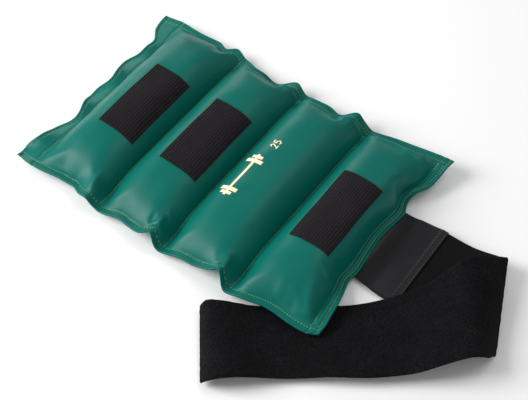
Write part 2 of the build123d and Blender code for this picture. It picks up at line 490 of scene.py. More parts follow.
@dataclass(frozen=True)
class SpunThread:
    """Bonded polyester sewing thread: plies twisted together, with a slight lustre along the twist, painted
    into the base colour: a wave across the plies mixes a lit colour with a painted shade between them.

    The lay is the length of one full twist, drawn coarse enough to show.
    """

    name: str
    colour: str
    shade: str
    lay_mm: float = 5.024
    ply_depth_mm: float = 0.1

    def make(self) -> bpy.types.Material:
        """Build the material.

        Returns:
            The finished material.
        """
        material, tree, shader = new_material(self.name, {"IOR": 1.53, "Roughness": 0.55, "Sheen Weight": 0.2})
        place = add_node(tree, "ShaderNodeTexCoord").outputs["Object"]
        turned = add_node(tree, "ShaderNodeMapping", {"Vector": place, "Rotation": (0.0, 0.0, 0.6)})
        plies = add_node(
            tree,
            "ShaderNodeTexWave",
            {"Vector": turned.outputs[0], "Scale": 1 / (self.lay_mm * MM), "Distortion": 1.5},
        )
        # The wave paints the twist: the lit colour on the plies' crowns is a painted lustre, and the shade
        # colour between them is painted shade.
        colour = add_node(
            tree,
            "ShaderNodeMix",
            {"Factor": plies.outputs["Fac"], 6: srgb(self.shade), 7: srgb(self.colour)},
            data_type="RGBA",
        )
        tree.links.new(colour.outputs[2], shader.inputs["Base Color"])
        bump = add_node(
            tree,
            "ShaderNodeBump",
            {"Strength": 0.6, "Distance": self.ply_depth_mm * MM, "Height": plies.outputs["Fac"]},
        )
        tree.links.new(bump.outputs["Normal"], shader.inputs["Normal"])
        return material


@dataclass(frozen=True)
class ScreenInk:
    """Plastisol ink squeezed through a mesh screen: opaque and matt, with the vinyl showing at thin places."""

    name: str
    ink: str
    thin: str
    pinhole_mm: float = 1.111
    pinhole_depth_mm: float = 0.05

    def make(self) -> bpy.types.Material:
        """Build the material.

        Returns:
            The finished material.
        """
        material, tree, shader = new_material(self.name, {"IOR": 1.5, "Roughness": 0.6})
        place = add_node(tree, "ShaderNodeTexCoord").outputs["Object"]
        pinholes = add_node(
            tree, "ShaderNodeTexNoise", {"Vector": place, "Scale": 1 / (self.pinhole_mm * MM), "Detail": 2.0}
        )
        worn = add_node(
            tree, "ShaderNodeMapRange", {0: pinholes.outputs["Fac"], 1: 0.66, 2: 0.8, 3: 0.0, 4: 0.7}
        )
        colour = add_node(
            tree,
            "ShaderNodeMix",
            {"Factor": worn.outputs[0], 6: srgb(self.ink), 7: srgb(self.thin)},
            data_type="RGBA",
        )
        tree.links.new(colour.outputs[2], shader.inputs["Base Color"])
        bump = add_node(
            tree,
            "ShaderNodeBump",
            {"Strength": 0.4, "Distance": self.pinhole_depth_mm * MM, "Height": pinholes.outputs["Fac"]},
        )
        tree.links.new(bump.outputs["Normal"], shader.inputs["Normal"])
        return material


@dataclass(frozen=True)
class SteelShot:
    """Cast steel balls poured loose, packed close together: round grey grains, each with a painted highlight, a
    light point at its middle, that fades to painted shade towards the gaps between the balls.
    """

    name: str = "steel_shot_loose"
    crown_glint: str = "#8A8C8E"
    gap_shade: str = "#3A3B3D"
    ball_mm: float = 2.4
    ball_depth_mm: float = 0.8

    def make(self) -> bpy.types.Material:
        """Build the material.

        Returns:
            The finished material.
        """
        material, tree, shader = new_material(self.name, {"Metallic": 1.0, "Roughness": 0.42})
        place = add_node(tree, "ShaderNodeTexCoord").outputs["Object"]
        balls = add_node(tree, "ShaderNodeTexVoronoi", {"Vector": place, "Scale": 1 / (self.ball_mm * MM)})
        # Painted light: the highlight colour at each ball's middle fades to the painted shade colour at its
        # edge.
        colour = add_node(
            tree,
            "ShaderNodeMix",
            {"Factor": balls.outputs["Distance"], 6: srgb(self.crown_glint), 7: srgb(self.gap_shade)},
            data_type="RGBA",
        )
        tree.links.new(colour.outputs[2], shader.inputs["Base Color"])
        bump = add_node(
            tree,
            "ShaderNodeBump",
            {"Strength": 1.0, "Distance": self.ball_depth_mm * MM, "Height": balls.outputs["Distance"]},
            invert=True,
        )
        tree.links.new(bump.outputs["Normal"], shader.inputs["Normal"])
        return material


class Finish(Enum):
    """The finishes of the cuff, each with its maker."""

    GREEN_VINYL = CoatedVinylCloth("green_vinyl_calendered", "#016056", "#026A5F", 0.39, 0.17)
    BLACK_VINYL = CoatedVinylCloth("black_vinyl_calendered", "#131114", "#19161A", 0.42, 0.25)
    # For each tape, the second colour is its painted glint, the lighter speckle on the ends of the nap.
    HOOK_TAPE = NapTape("nylon_hook_tape_moulded", "#151215", "#3D373C", 0.9, 0.35, 0.01, 0.7)
    LOOP_TAPE = NapTape("nylon_loop_tape_brushed", "#030304", "#2D2C31", 1.5, 0.8, 0.01)
    TAPE_BACK = NapTape("nylon_tape_back_knitted", "#070608", "#18161A", 0.8, 0.2, 0.02, 0.8)
    # Each thread gives its lit colour, then the painted shade between its plies.
    GREEN_THREAD = SpunThread("green_polyester_thread_spun", "#86BF6D", "#449557")
    MATCHED_THREAD = SpunThread("matched_polyester_thread_spun", "#3E9C7C", "#1F7B66")
    BLACK_THREAD = SpunThread("black_polyester_thread_spun", "#2A272B", "#121013")
    CREAM_INK = ScreenInk("cream_plastisol_screened", "#F3E3C2", "#8FA88F")
    SHOT = SteelShot()


class Wardrobe:
    """Makes each finish once and hands it out."""

    def __init__(self) -> None:
        """Start with no materials made."""
        self.made: dict[Finish, bpy.types.Material] = {}

    def dress(self, piece: bpy.types.Object, *finishes: Finish) -> bpy.types.Object:
        """Put finishes in a piece's slots.

        Args:
            piece: The object.
            finishes: One for each slot.

        Returns:
            The same object.
        """
        for finish in finishes:
            if finish not in self.made:
                self.made[finish] = finish.value.make()
            piece.data.materials.append(self.made[finish])
        return piece


# ---- The cuff's form -----------------------------------------------------------------------------

# The cloth's own unevenness, as bells: height, centre, width before the centre and, if it differs, after it.
# The humps, the settling, the pinches and the crumples lift the cloth. Out and in move its edges in plan.
# Centres are x along the hems, and y for the seams' settling, the flange and the strap hem.
HUMPS_FAR = (
    (3, -104, 16, 10), (-2, -88, 7), (-3, -38, 14), (4.5, -12, 13, 8), (-3, 2, 8), (10, 70, 15, 8), (-3, 92, 8),
)
HUMPS_NEAR = (
    (8, -102, 14, 6), (-5, -84, 7, 16), (9.5, -15, 16, 5.5), (-6, 0, 7, 18), (12, 74, 19, 5), (-4, 88, 6, 12),
)
SEAM_SETTLING = ((-6.0, -108, 20), (-2.5, 112, 16))
STRAP_HEM_PINCHES = ((2.5, 88, 9), (2.0, -76, 9))
HEM_FAR_OUT = (
    (-2.3, -155, 25), (-9.0, -113, 9), (4.0, -106, 14, 9), (-8.3, -66, 20), (-11.0, -36, 17), (2.5, -15, 12, 8),
    (-5.0, 8, 22), (-4.0, 35, 30), (-9.0, 55, 14), (1.5, 69, 12, 8), (-5.9, 100, 18), (2.2, 190, 15),
)
HEM_NEAR_OUT = (
    (4.6, -205, 12), (7.0, -140, 26), (2.9, -125, 9), (2.2, -85, 14), (-2.0, -60, 25), (6.7, -60, 16),
    (2.0, -41, 12), (-1.4, -24, 8), (3.0, -19, 12, 6), (4.0, -15, 6), (4.1, 28, 20), (2.5, 51, 12),
    (-1.2, 64, 8), (7.0, 70, 16, 6), (5.5, 76, 6), (7.1, 135, 26), (6.6, 195, 10),
)
FLANGE_IN = (
    (-6.8, -115, 14), (-2.4, -95, 16), (-2.4, -70, 10), (2.6, -45, 15), (-6.6, 0, 13), (-6.3, 55, 14),
    (9.8, 95, 14), (2.2, 104, 14), (-6.1, 132, 16),
)
CRUMPLES = ((0.9, -60, 2.1), (-1.5, -65, 2.1), (1.3, -70, 2.1), (-1.5, -75, 2.1), (0.8, -80, 2.1))
STRAP_HEM_IN = (
    (-2.0, -74, 12), (2.5, -50, 8), (6.0, 16, 38), (4.8, 70, 9), (8.5, 82, 11, 15), (1.5, 104, 14),
    (-2.0, 145, 10),
)


@dataclass(frozen=True)
class HemFold:
    """A fold that runs in from a hem: its start along the hem, the end it is at, its height, width, length."""

    place: float
    end: int
    height: float
    width: float
    length: float


HEM_FOLDS = (
    HemFold(-104, -1, 2.2, 3.0, 34),
    HemFold(-150, -1, -0.8, 7.0, 40),
    HemFold(-22, -1, -2.4, 3.4, 22),
    HemFold(-11, -1, 2.4, 3.0, 26),
    HemFold(66, -1, -1.0, 5.0, 30),
    HemFold(140, -1, 0.9, 6.0, 45),
    HemFold(158, -1, -0.8, 5.0, 36),
    HemFold(-100, 1, -1.2, 4.0, 30),
    HemFold(-24, 1, -1.2, 4.0, 26),
    HemFold(60, 1, -2.2, 4.0, 28),
    HemFold(150, 1, 1.2, 6.0, 32),
)


@dataclass
class CuffForm:
    """The shape of the filled cuff: where each point of its flat pattern lies, outside and inside.

    Sizes in millimetres, read from the frame where it has them. The ends' pairs are the powers n and m of the
    profile along a pocket.
    """

    flange_seam_x: float = -181.0
    strap_seam_x: float = 180.0
    half_length: float = 130.0
    cloth: float = 1.1
    plumpness: float = 2.95
    far_end: tuple[float, float] = (4.4, 0.74)
    near_end: tuple[float, float] = (3.3, 0.86)
    pinch: float = 0.5
    flange_wave: float = 61.0
    edge_roll: float = 0.8
    table_gap: float = 0.15
    table_softness: float = 0.8

    def __post_init__(self) -> None:
        """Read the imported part's own sizes and place the stitch rows."""
        strips = [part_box(f"seam_strip_{k}") for k in (1, 2, 3)]
        self.seam_xs = [round(float(low[0] + high[0]) / 2 / MM, 2) for low, high in strips]
        self.seam_z = float(strips[0][0][2] + strips[0][1][2]) / 2 / MM
        self.left = float(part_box("outer_cover_1")[0][0]) / MM
        self.right = float(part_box("outer_cover_4")[1][0]) / MM
        self.hem_y = float(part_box("outer_cover_2")[1][1]) / MM
        self.crown = float(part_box("outer_cover_2")[1][2]) / MM - self.seam_z
        self.edges = np.array([self.flange_seam_x, *self.seam_xs, self.strap_seam_x])
        self.hem_row = self.half_length + 1
        self.flange_rows = {"flange_edge": self.left + 5, "flange_seam": self.flange_seam_x - 2}
        self.strap_rows = {"strap_seam": self.strap_seam_x + 1, "strap_hem": self.strap_seam_x + 7.5}

    def length_lines(self, step: float) -> Array:
        """Grid lines along the pockets, closer at the hems and their stitches.

        Args:
            step: Usual spacing.

        Returns:
            The lines in order.
        """
        close = (self.hem_row, self.hem_y, -self.hem_row, -self.hem_y)
        return graded(-self.hem_y, self.hem_y, step, close, CLOSE_STEP)

    def rim(self, x: Array, y: Array) -> Array:
        """Distance in the flat pattern to the nearest cut edge of the cloth."""
        return np.minimum(self.hem_y - np.abs(y), np.minimum(x - self.left, self.right - x))

    def fullness(self, x: Array, y: Array) -> Array:
        """How far the filling pushes the cloth out, from 0 at the seams to 1 at a pocket's middle.

        Args:
            x: Across the pockets.
            y: Along the pockets.

        Returns:
            The product of a section across the pocket, 1 - |s|^p, and a profile along it, (1 - |q|^n)^m.
        """
        pocket = np.clip(np.searchsorted(self.edges, x, side="right") - 1, 0, 3)
        centre = (self.edges[pocket] + self.edges[pocket + 1]) / 2
        half = (self.edges[pocket + 1] - self.edges[pocket]) / 2 - self.pinch
        s = np.clip(np.abs(x - centre) / half, 0, 1)
        q = np.clip(np.abs(y) / (self.half_length - self.pinch), 0, 1)
        power = np.where(y < 0, self.near_end[0], self.far_end[0])
        fill = np.where(y < 0, self.near_end[1], self.far_end[1])
        return (1 - s**self.plumpness) * (1 - q**power) ** fill

    def hem_lift(self, x: Array, y: Array) -> Array:
        """Height of the hems above the seam plane: the cloth gathers into a hump before each seam.

        Args:
            x: Across the pockets.
            y: Along the pockets.

        Returns:
            Millimetres, fading out towards the middle of the pockets.
        """
        far = bells(x, *HUMPS_FAR) + 7 * smooth(x, 118, 185)
        near = bells(x, *HUMPS_NEAR)
        sag = sum(bell(x, seam + 1, 10, 9) for seam in self.seam_xs)
        return far * smooth(y, 96, 130) + near * smooth(-y, 99, 129) + sag * bells(y, *SEAM_SETTLING)

    def side_lift(self, x: Array, y: Array) -> Array:
        """Height of the closing flange and of the strap hem above the seam plane.

        The flange is longer than the seam that gathers it, so it waves; the strap hem droops where the tab
        hangs on it and is pinched at the two ends of the tab.

        Args:
            x: Across the pockets.
            y: Along the pockets.

        Returns:
            Millimetres.
        """
        waves = 4.2 * np.sin(2 * np.pi * (y - 8) / self.flange_wave) * (1 - 0.8 * smooth(y, 70, 100))
        flange = waves - 1.5 * smooth(np.abs(y), 90, 130) - 1.0
        droop = smooth(y, -92, -55) * smooth(-y, -92, -62)
        strap_hem = -5.5 * droop + bells(y, *STRAP_HEM_PINCHES)
        return flange * smooth(-x, -self.flange_seam_x, -self.left) + strap_hem * smooth(x, 168, self.right)

    def corner_ridges(self, x: Array, y: Array) -> Array:
        """Ridges that run out of the sixteen corners of the pockets, at nearly 45 degrees to the seams.

        Args:
            x: Across the pockets.
            y: Along the pockets.

        Returns:
            Millimetres.
        """
        total = np.zeros(np.broadcast(x, y).shape)
        reach = self.half_length - 3
        for left, right in zip(self.edges[:-1], self.edges[1:]):
            for corner_x, way in ((left + 3, 1), (right - 3, -1)):
                for end in (-1, 1):
                    run = (x - corner_x) * way
                    inward = reach - end * y
                    along = 0.75 * run + 0.66 * inward
                    aside = 0.66 * run - 0.75 * inward
                    inside = smooth(run, -1, 4) * smooth(inward, -1, 4)
                    faded = smooth(along, 0, 12) * smooth(-along, -46, -16)
                    total += 1.2 * inside * bell(aside, 0, 7) * faded
        return total

    def hem_folds(self, x: Array, y: Array) -> Array:
        """Folds that run in from the gathered hems, a roll along the far hems and a ring by a near one.

        Args:
            x: Across the pockets.
            y: Along the pockets.

        Returns:
            Millimetres.
        """
        total = np.zeros(np.broadcast(x, y).shape)
        for fold in HEM_FOLDS:
            inward = self.half_length - 3 - fold.end * y
            faded = smooth(inward, -2, 6) * smooth(-inward, -fold.length, -6)
            total += fold.height * bell(x, fold.place - 0.12 * inward, fold.width) * faded
        roll = self.half_length - 9 + 1.2 * ripple(x, y, 45, 6)
        span = smooth(x, -88, -74) * smooth(-x, -178, -160)
        total += span * (3.4 * bell(y, roll, 5, 1.4) - 2.2 * bell(y, roll + 4.2, 2.2))
        ring = np.hypot(x + 20, y + 112)
        total += 1.6 * bell(ring, 13, 2.6) * smooth(x, -24, -12) * smooth(-y, 92, 104)
        return total

    def strap_hem_creases(self, x: Array, y: Array) -> Array:
        """Creases by the strap hem: a ridge from its near corner, crumples by the tab, a welt by its seam.

        Args:
            x: Across the pockets.
            y: Along the pockets.

        Returns:
            Millimetres.
        """
        ridge = 0.92 * (x - 181) + 0.38 * (y + 125)
        reached = 0.38 * (181 - x) + 0.92 * (y + 125)
        total = 3.2 * bell(ridge, -3, 5, 9) * smooth(reached, 0, 12) * smooth(-reached, -52, -20)
        total += bells(y + 0.25 * (x - 176), *CRUMPLES) * bell(x, 174, 11, 8)
        hemmed = smooth(-np.abs(y), -126, -112)
        total += hemmed * (1.1 * bell(x, 185.2, 2.4) - 1.6 * bell(x, self.strap_seam_x, 2.8, 2.0))
        total += 1.8 * bell(y, 82, 6) * bell(x, 168, 10) - 2.0 * bell(y, 74, 5) * bell(x, 172, 8)
        total += 1.4 * bell(y, -70, 5) * bell(x, 170, 8) - 1.4 * bell(y, -78, 4) * bell(x, 173, 7)
        return total

    def stitch_grooves(self, x: Array, y: Array) -> Array:
        """The dip that each row of stitches pulls into the cloth, uneven along the row.

        Args:
            x: Across the pockets.
            y: Along the pockets.

        Returns:
            Millimetres, zero or less.
        """
        depth = np.zeros(np.broadcast(x, y).shape)
        upright = (*self.flange_rows.values(), *self.strap_rows.values())
        for away, run in ((np.abs(y) - self.hem_row, x), *((x - place, y) for place in upright)):
            pull = 0.7 + 0.3 * ripple(run, away * 0, 14, 4)
            depth -= pull * bell(away, 0, 1.3)
        return depth

    def plan(self, x: Array, y: Array) -> tuple[Array, Array]:
        """Where a point of the flat pattern lies seen from above: corners flare, hems draw in at the seams.

        Args:
            x: Across the pockets.
            y: Along the pockets.

        Returns:
            The moved x and y.
        """
        far = bells(x, *HEM_FAR_OUT) + 2.0 * smooth(x, 125, 175) - 2.5 * smooth(-x, 181, 206)
        near = bells(x, *HEM_NEAR_OUT) + 4.5 * smooth(-x, 100, 200) + 7.0 * smooth(x, 120, 195)
        moved_y = y + far * smooth(y, 95, self.hem_y) + near * smooth(-y, 95, self.hem_y)
        waist = 10.5 * smooth(-np.abs(y + 8), -122, -70) + 3.2 * np.sin(2 * np.pi * (y + 5) / self.flange_wave)
        left_pull = (waist + bells(y, *FLANGE_IN)) * smooth(-x, 174, -self.left)
        notch = bells(y, *STRAP_HEM_IN) + 5.5 * smooth(y, -95, -60) * smooth(-y, -95, -60)
        right_pull = (notch - 5.0 * smooth(-y, 70, 125)) * smooth(x, 150, self.right)
        return x + left_pull - right_pull, moved_y

    def outer(self, x: Array, y: Array) -> Array:
        """Points of the outer cover's outside.

        Args:
            x: Across the pockets.
            y: Along the pockets.

        Returns:
            An array with a last axis of x, y, z in millimetres.
        """
        full = self.fullness(x, y)
        height = (self.crown - 0.6) * full + 0.9 * ripple(x, y, 62, 3) * full + self.stitch_grooves(x, y)
        height += self.corner_ridges(x, y) + self.hem_folds(x, y) + self.strap_hem_creases(x, y)
        height += self.hem_lift(x, y) * (1 - 0.6 * full) + self.side_lift(x, y)
        rim = self.rim(x, y)
        beaded = 1 - 0.85 * smooth(-x, 176, 186)
        height += beaded * bells(rim, (0.7, 1.3, 1.3), (-0.45, 3.6, 1.0))
        height += self.cloth - rounding(rim, self.cloth, self.edge_roll * self.cloth)
        moved_x, moved_y = self.plan(x, y)
        return np.stack([moved_x, moved_y, self.seam_z + height], -1)

    def inner(self, x: Array, y: Array) -> Array:
        """Points of the inner cover's outside, which rests flat where it meets the table.

        Args:
            x: Across the pockets.
            y: Along the pockets.

        Returns:
            An array with a last axis of x, y, z in millimetres.
        """
        full = self.fullness(x, y)
        height = -(self.seam_z + 2.5) * full + self.hem_lift(x, y) * (1 - 0.8 * full) + self.side_lift(x, y)
        height += rounding(self.rim(x, y), self.cloth, self.edge_roll * self.cloth) - self.cloth
        moved_x, moved_y = self.plan(x, y)
        above = (self.seam_z + height - self.table_gap) / self.table_softness
        settled = self.table_gap + np.logaddexp(0, above) * self.table_softness
        return np.stack([moved_x, moved_y, settled], -1)

    def middle(self, x: Array, y: Array, outward: bool) -> Array:
        """Points of a cover's hidden side, one cloth thickness inside its outside.

        Args:
            x: Across the pockets.
            y: Along the pockets.
            outward: True for the outer cover.

        Returns:
            An array with a last axis of x, y, z in millimetres.
        """
        points = self.outer(x, y) if outward else self.inner(x, y)
        full = self.fullness(x, y)
        slope = 1 + 1.1 * full * (1 - full)
        fold = np.clip(1 - self.rim(x, y) / self.cloth, 0, 1) * 0.35 * self.cloth
        gap = 0.94 * self.cloth * slope - fold
        points[..., 2] -= gap if outward else -gap
        return points

    def outward(self, x: Array, y: Array) -> Array:
        """The outer cover's outward directions, from differences half a millimetre apart.

        Args:
            x: Across the pockets.
            y: Along the pockets.

        Returns:
            Unit vectors.
        """
        step = 0.5
        along_x = self.outer(x + step, y) - self.outer(x - step, y)
        along_y = self.outer(x, y + step) - self.outer(x, y - step)
        normal = np.cross(along_x, along_y)
        return normal / np.linalg.norm(normal, axis=-1, keepdims=True)


@dataclass(frozen=True)
class Sewing:
    """Lockstitch with bonded thread: even stitches, each a little sunk at its two needle holes."""

    pitch: float = 3.0
    stitch: float = 1.9
    width: float = 0.85
    height: float = 0.6
    sink: float = 0.05

    def run(
        self, name: str, form: CuffForm, start: tuple[float, float], end: tuple[float, float]
    ) -> bpy.types.Object:
        """A straight run of stitches in the flat pattern, laid on the outer cover.

        Args:
            name: The piece's name.
            form: The cuff's form.
            start: Pattern x and y of the run's start.
            end: Pattern x and y of its end.

        Returns:
            The object.
        """
        first, last = np.array(start), np.array(end)
        length = float(np.linalg.norm(last - first))
        count = int(length / self.pitch)
        way = (last - first) / length
        mid = first + way * ((np.arange(count) + 0.5) * length / count)[:, None]
        a, b = mid - way * self.stitch / 2, mid + way * self.stitch / 2
        ups = form.outward(mid[:, 0], mid[:, 1])
        lift = (self.height / 2 - self.sink) * ups
        low = form.outer(a[:, 0], a[:, 1]) + lift
        high = form.outer(b[:, 0], b[:, 1]) + lift
        return stitches(name, low, high, ups, self.width, self.height)


SEWING = Sewing()


def sewn_covers(form: CuffForm, wardrobe: Wardrobe, x: Array, y: Array, label: str) -> list[bpy.types.Object]:
    """The outer and the inner cloth over the same grid, in green vinyl.

    Args:
        form: The cuff's form.
        wardrobe: Where the finishes come from.
        x: Pattern x of the grid.
        y: Pattern y of the grid.
        label: The pieces' names, with a gap for outer or inner.

    Returns:
        The outer and the inner cover.
    """
    covers = [
        slab(label.format("outer"), form.outer(x, y), form.middle(x, y, True)),
        slab(label.format("inner"), form.middle(x, y, False), form.inner(x, y)),
    ]
    return [wardrobe.dress(cover, Finish.GREEN_VINYL, Finish.GREEN_VINYL) for cover in covers]


@dataclass
class Pocket:
    """One pocket: outer and inner cover, its filling, its hem thread.

    The band is the part of the cloth beside a seam that belongs to the seam's own strip.
    """

    number: int
    form: CuffForm
    step: float = 1.5
    band: float = 6.0
    filling_inset: float = 7.5
    filling_y: float = 120.0
    filling_gap: float = 1.2
    hem_corner: float = 3.0
    seam_gap: float = 2.0

    def span(self) -> tuple[float, float]:
        """Left and right limit of the pocket's own cloth in the flat pattern."""
        form, k = self.form, self.number
        left = form.left if k == 1 else form.seam_xs[k - 2] + self.band
        right = form.right if k == 4 else form.seam_xs[k - 1] - self.band
        return left, right

    def hem_span(self) -> tuple[float, float]:
        """Where the hem's stitches start and stop: short of the corners, close to the seams' own stitches."""
        form, k = self.form, self.number
        start = form.left + self.hem_corner if k == 1 else form.seam_xs[k - 2] + self.seam_gap
        stop = form.right - self.hem_corner if k == 4 else form.seam_xs[k - 1] - self.seam_gap
        return start, stop

    def lines(self) -> tuple[Array, Array]:
        """Grid lines of the covers, closer along hems and stitch rows.

        Returns:
            The grids of pattern x and y.
        """
        form = self.form
        left, right = self.span()
        rows = (*form.flange_rows.values(), *form.strap_rows.values())
        xs = graded(left, right, self.step, (form.left, form.right, left, right, *rows), CLOSE_STEP)
        return np.meshgrid(xs, form.length_lines(self.step), indexing="ij")

    def build(self, wardrobe: Wardrobe) -> list[bpy.types.Object]:
        """Make the pocket's pieces and let them ride on its body.

        Args:
            wardrobe: Where the finishes come from.

        Returns:
            The pieces.
        """
        k = self.number
        body = f"pocket_{k}"
        covers = sewn_covers(self.form, wardrobe, *self.lines(), f"{{}}_vinyl_{k}")
        for cover, side in zip(covers, ("outer", "inner")):
            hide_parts(f"{side}_cover_{k}")
            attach(cover, body)
        filling = self.filling()
        wardrobe.dress(filling, Finish.SHOT, Finish.SHOT)
        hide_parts(f"shot_fill_{k}")
        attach(filling, body)
        thread = self.thread()
        for piece in thread:
            matched = piece.name.startswith("flange_edge")
            wardrobe.dress(piece, Finish.MATCHED_THREAD if matched else Finish.GREEN_THREAD)
            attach(piece, body)
        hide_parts(f"hem_thread_{k}")
        return [*covers, filling, *thread]

    def filling(self) -> bpy.types.Object:
        """The shot, which fills the room between the covers' hidden sides but for a small gap."""
        form, k = self.form, self.number
        xs = np.linspace(form.edges[k - 1] + self.filling_inset, form.edges[k] - self.filling_inset, 30)
        ys = np.linspace(-self.filling_y, self.filling_y, 70)
        x, y = np.meshgrid(xs, ys, indexing="ij")
        top, bottom = form.middle(x, y, True), form.middle(x, y, False)
        centre = (top[..., 2] + bottom[..., 2]) / 2
        half = np.maximum((top[..., 2] - bottom[..., 2]) / 2 - self.filling_gap, 0.2)
        top[..., 2], bottom[..., 2] = centre + half, centre - half
        return slab(f"steel_shot_{k}", top, bottom)

    def thread(self) -> list[bpy.types.Object]:
        """The stitch rows of the pocket's hems and, on the end pockets, of their upright edges.

        The near hem of pocket 3 sags most beside its seam, so its row stops sooner, to keep clear of the next.

        Returns:
            One object for each row, the near hem's first.
        """
        form, k = self.form, self.number
        start, stop = self.hem_span()
        row = form.hem_row
        near_stop = stop - 3 if k == 3 else stop
        rows = [
            SEWING.run(f"hem_stitches_near_{k}", form, (start, -row), (near_stop, -row)),
            SEWING.run(f"hem_stitches_far_{k}", form, (start, row), (stop, row)),
        ]
        upright = {1: form.flange_rows, 4: form.strap_rows}
        for label, place in upright.get(k, {}).items():
            rows.append(SEWING.run(f"{label}_stitches", form, (place, -row + 3), (place, row - 3)))
        return rows


@dataclass
class SeamBand:
    """The strip of both covers along a bending line, with the seam's stitches down its valley.

    Its lines lie at the distances beside the seam, closer where the valley is narrow and by the pockets' edges.
    """

    number: int
    form: CuffForm
    beside: tuple[float, ...] = (0, 0.3, 0.6, 0.9, 1.3, 1.7, 2.2, 2.8, 3.4, 4.0, 4.6, 5.1, 5.55, 6.0)
    step: float = 1.5
    bend_reach: float = 5.0

    def build(self, wardrobe: Wardrobe) -> list[bpy.types.Object]:
        """Make the band and its seam's stitches.

        Args:
            wardrobe: Where the finishes come from.

        Returns:
            The pieces.
        """
        form, k = self.form, self.number
        seam = form.seam_xs[k - 1]
        beside = np.array(self.beside)
        across = np.concatenate([seam - beside[:0:-1], seam + beside])
        x, y = np.meshgrid(across, form.length_lines(self.step), indexing="ij")
        outer, inner = sewn_covers(form, wardrobe, x, y, f"seam_{{}}_vinyl_{k}")
        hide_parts(f"seam_strip_{k}")
        thread = SEWING.run(f"seam_stitches_{k}", form, (seam, -form.hem_row), (seam, form.hem_row))
        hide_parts(f"seam_thread_{k}")
        wardrobe.dress(thread, Finish.GREEN_THREAD)
        for piece, slot in ((outer, "vinyl_cloth"), (inner, "vinyl_cloth"), (thread, "green_thread")):
            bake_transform(piece)
        return [outer, inner, thread]


@dataclass
class HookPad:
    """A cut of moulded hook tape: rows of hooks run along it, and it follows the pocket's crown.

    Tucked is how much narrower it is on its right side than the frame's pad.
    """

    number: int
    form: CuffForm
    tucked: float = 0.0
    thickness: float = 1.9
    row_pitch: float = 3.1
    row_height: float = 0.45
    hook_pitch: float = 3.2
    hook_height: float = 0.12
    edge_radius: float = 0.8
    edge_drop: float = 0.6

    def build(self, wardrobe: Wardrobe) -> bpy.types.Object:
        """Make the pad.

        Args:
            wardrobe: Where the finishes come from.

        Returns:
            The piece.
        """
        low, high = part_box(f"hook_pad_{self.number}")
        left, right = low[0] / MM, high[0] / MM - self.tucked
        near, far = low[1] / MM, high[1] / MM
        xs = np.linspace(left, right, round((right - left) / 0.5) + 1)
        ys = graded(near, far, self.hook_pitch / 2, (near, far), 0.4)
        x, y = np.meshgrid(xs, ys, indexing="ij")
        row = np.floor((x - left) / self.row_pitch)
        bare = 0.5 + 0.5 * np.cos(2 * np.pi * (x - left) / self.row_pitch)
        hooks = self.hook_height * np.sin(2 * np.pi * y / self.hook_pitch + 2.1 * row)
        rim = np.minimum(np.minimum(x - left, right - x), np.minimum(y - near, far - y))
        height = self.thickness - self.row_height * bare + hooks
        height -= rounding(rim, self.edge_radius, self.edge_drop)
        normal = self.form.outward(x, y)
        cloth = self.form.outer(x, y)
        piece = slab(f"hook_tape_{self.number}", cloth + normal * height[..., None], cloth - 0.1 * normal)
        wardrobe.dress(piece, Finish.HOOK_TAPE, Finish.HOOK_TAPE)
        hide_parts(f"hook_pad_{self.number}")
        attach(piece, f"pocket_{self.number}")
        return piece


